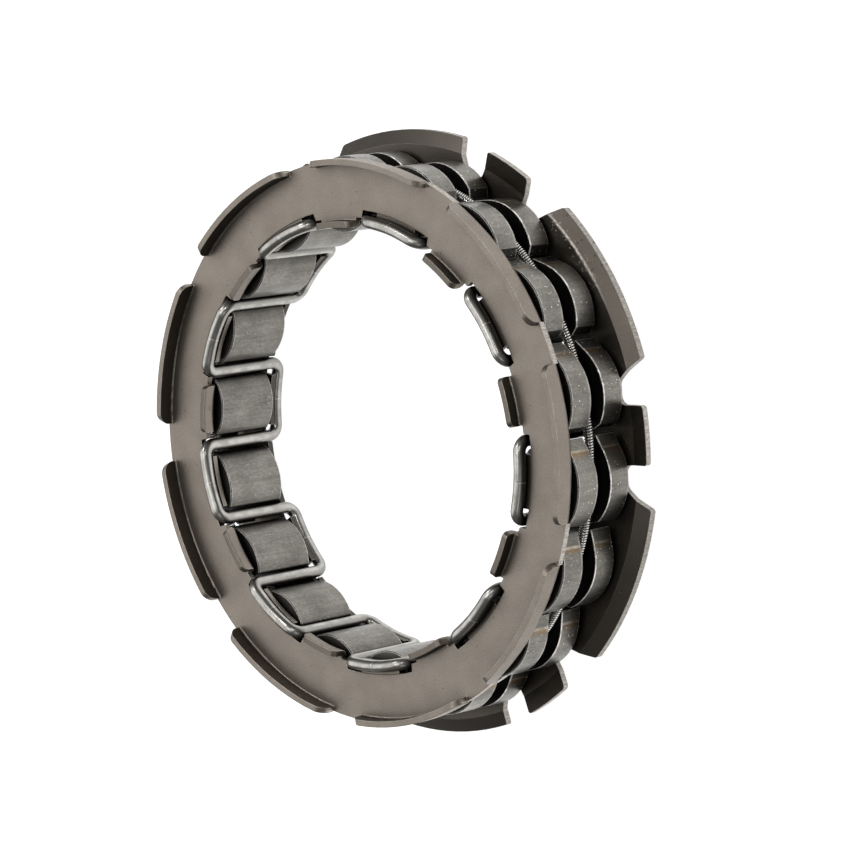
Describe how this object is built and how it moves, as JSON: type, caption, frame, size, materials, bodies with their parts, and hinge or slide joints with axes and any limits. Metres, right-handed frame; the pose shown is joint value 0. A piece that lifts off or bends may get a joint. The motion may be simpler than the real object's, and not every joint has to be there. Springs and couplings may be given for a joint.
{
  "type": "sprag clutch",
  "caption": "Ring of rocking sprags held between two stamped side plates by a serpentine wire, energised by a garter spring, for one-way drive between two races.",
  "frame": {"origin": "on the ring's axis, in the plane of the rear wire loops that the ring stands on", "axes": "+Z along the ring's axis, from the rear plate to the front plate; +X and +Y across the ring, with the first sprag 8.4 degrees anticlockwise from +X"},
  "size_m": [0.0698, 0.0696, 0.0136],
  "materials": {
    "plate_steel": "stamped sheet steel, tumbled, matte brownish grey with brighter rubbed edges",
    "drawn_wire": "drawn wire, satin, brightest on the rubbed crown",
    "spring_wire": "bright coiled spring wire with a film of oil",
    "sprag_steel": "hardened and ground steel, oiled, satin, with bright broken edges"
  },
  "bodies": {
    "cage": {"front_plate": "plate_steel", "rear_plate": "plate_steel", "retaining_wire": "drawn_wire", "garter_spring": "spring_wire"},
    "sprag_01": {"sprag_01": "sprag_steel"},
    "sprag_02": {"sprag_02": "sprag_steel"},
    "sprag_03": {"sprag_03": "sprag_steel"},
    "sprag_04": {"sprag_04": "sprag_steel"},
    "sprag_05": {"sprag_05": "sprag_steel"},
    "sprag_06": {"sprag_06": "sprag_steel"},
    "sprag_07": {"sprag_07": "sprag_steel"},
    "sprag_08": {"sprag_08": "sprag_steel"},
    "sprag_09": {"sprag_09": "sprag_steel"},
    "sprag_10": {"sprag_10": "sprag_steel"},
    "sprag_11": {"sprag_11": "sprag_steel"},
    "sprag_12": {"sprag_12": "sprag_steel"},
    "sprag_13": {"sprag_13": "sprag_steel"},
    "sprag_14": {"sprag_14": "sprag_steel"},
    "sprag_15": {"sprag_15": "sprag_steel"},
    "sprag_16": {"sprag_16": "sprag_steel"},
    "sprag_17": {"sprag_17": "sprag_steel"},
    "sprag_18": {"sprag_18": "sprag_steel"}
  },
  "joints": [
    {"name": "sprag_01_rock", "type": "hinge", "parent": "cage", "child": "sprag_01", "pos_m": [0.02592, 0.00383, 0.00657], "axis": [0, 0, 1], "range_deg": [-6, 4], "stiffness_Nm_per_rad": 0.002},
    {"name": "sprag_02_rock", "type": "hinge", "parent": "cage", "child": "sprag_02", "pos_m": [0.02305, 0.01246, 0.00657], "axis": [0, 0, 1], "range_deg": [-6, 4], "stiffness_Nm_per_rad": 0.002},
    {"name": "sprag_03_rock", "type": "hinge", "parent": "cage", "child": "sprag_03", "pos_m": [0.0174, 0.01959, 0.00657], "axis": [0, 0, 1], "range_deg": [-6, 4], "stiffness_Nm_per_rad": 0.002},
    {"name": "sprag_04_rock", "type": "hinge", "parent": "cage", "child": "sprag_04", "pos_m": [0.00965, 0.02436, 0.00657], "axis": [0, 0, 1], "range_deg": [-6, 4], "stiffness_Nm_per_rad": 0.002},
    {"name": "sprag_05_rock", "type": "hinge", "parent": "cage", "child": "sprag_05", "pos_m": [0.00073, 0.02619, 0.00657], "axis": [0, 0, 1], "range_deg": [-6, 4], "stiffness_Nm_per_rad": 0.002},
    {"name": "sprag_06_rock", "type": "hinge", "parent": "cage", "child": "sprag_06", "pos_m": [-0.00827, 0.02486, 0.00657], "axis": [0, 0, 1], "range_deg": [-6, 4], "stiffness_Nm_per_rad": 0.002},
    {"name": "sprag_07_rock", "type": "hinge", "parent": "cage", "child": "sprag_07", "pos_m": [-0.01627, 0.02053, 0.00657], "axis": [0, 0, 1], "range_deg": [-6, 4], "stiffness_Nm_per_rad": 0.002},
    {"name": "sprag_08_rock", "type": "hinge", "parent": "cage", "child": "sprag_08", "pos_m": [-0.02232, 0.01373, 0.00657], "axis": [0, 0, 1], "range_deg": [-6, 4], "stiffness_Nm_per_rad": 0.002},
    {"name": "sprag_09_rock", "type": "hinge", "parent": "cage", "child": "sprag_09", "pos_m": [-0.02567, 0.00527, 0.00657], "axis": [0, 0, 1], "range_deg": [-6, 4], "stiffness_Nm_per_rad": 0.002},
    {"name": "sprag_10_rock", "type": "hinge", "parent": "cage", "child": "sprag_10", "pos_m": [-0.02592, -0.00383, 0.00657], "axis": [0, 0, 1], "range_deg": [-6, 4], "stiffness_Nm_per_rad": 0.002},
    {"name": "sprag_11_rock", "type": "hinge", "parent": "cage", "child": "sprag_11", "pos_m": [-0.02305, -0.01246, 0.00657], "axis": [0, 0, 1], "range_deg": [-6, 4], "stiffness_Nm_per_rad": 0.002},
    {"name": "sprag_12_rock", "type": "hinge", "parent": "cage", "child": "sprag_12", "pos_m": [-0.0174, -0.01959, 0.00657], "axis": [0, 0, 1], "range_deg": [-6, 4], "stiffness_Nm_per_rad": 0.002},
    {"name": "sprag_13_rock", "type": "hinge", "parent": "cage", "child": "sprag_13", "pos_m": [-0.00965, -0.02436, 0.00657], "axis": [0, 0, 1], "range_deg": [-6, 4], "stiffness_Nm_per_rad": 0.002},
    {"name": "sprag_14_rock", "type": "hinge", "parent": "cage", "child": "sprag_14", "pos_m": [-0.00073, -0.02619, 0.00657], "axis": [0, 0, 1], "range_deg": [-6, 4], "stiffness_Nm_per_rad": 0.002},
    {"name": "sprag_15_rock", "type": "hinge", "parent": "cage", "child": "sprag_15", "pos_m": [0.00827, -0.02486, 0.00657], "axis": [0, 0, 1], "range_deg": [-6, 4], "stiffness_Nm_per_rad": 0.002},
    {"name": "sprag_16_rock", "type": "hinge", "parent": "cage", "child": "sprag_16", "pos_m": [0.01627, -0.02053, 0.00657], "axis": [0, 0, 1], "range_deg": [-6, 4], "stiffness_Nm_per_rad": 0.002},
    {"name": "sprag_17_rock", "type": "hinge", "parent": "cage", "child": "sprag_17", "pos_m": [0.02232, -0.01373, 0.00657], "axis": [0, 0, 1], "range_deg": [-6, 4], "stiffness_Nm_per_rad": 0.002},
    {"name": "sprag_18_rock", "type": "hinge", "parent": "cage", "child": "sprag_18", "pos_m": [0.02567, -0.00527, 0.00657], "axis": [0, 0, 1], "range_deg": [-6, 4], "stiffness_Nm_per_rad": 0.002}
  ],
  "couplings": [
    {"joint": "sprag_02_rock", "follows": "sprag_01_rock", "ratio": 1},
    {"joint": "sprag_03_rock", "follows": "sprag_01_rock", "ratio": 1},
    {"joint": "sprag_04_rock", "follows": "sprag_01_rock", "ratio": 1},
    {"joint": "sprag_05_rock", "follows": "sprag_01_rock", "ratio": 1},
    {"joint": "sprag_06_rock", "follows": "sprag_01_rock", "ratio": 1},
    {"joint": "sprag_07_rock", "follows": "sprag_01_rock", "ratio": 1},
    {"joint": "sprag_08_rock", "follows": "sprag_01_rock", "ratio": 1},
    {"joint": "sprag_09_rock", "follows": "sprag_01_rock", "ratio": 1},
    {"joint": "sprag_10_rock", "follows": "sprag_01_rock", "ratio": 1},
    {"joint": "sprag_11_rock", "follows": "sprag_01_rock", "ratio": 1},
    {"joint": "sprag_12_rock", "follows": "sprag_01_rock", "ratio": 1},
    {"joint": "sprag_13_rock", "follows": "sprag_01_rock", "ratio": 1},
    {"joint": "sprag_14_rock", "follows": "sprag_01_rock", "ratio": 1},
    {"joint": "sprag_15_rock", "follows": "sprag_01_rock", "ratio": 1},
    {"joint": "sprag_16_rock", "follows": "sprag_01_rock", "ratio": 1},
    {"joint": "sprag_17_rock", "follows": "sprag_01_rock", "ratio": 1},
    {"joint": "sprag_18_rock", "follows": "sprag_01_rock", "ratio": 1}
  ]
}
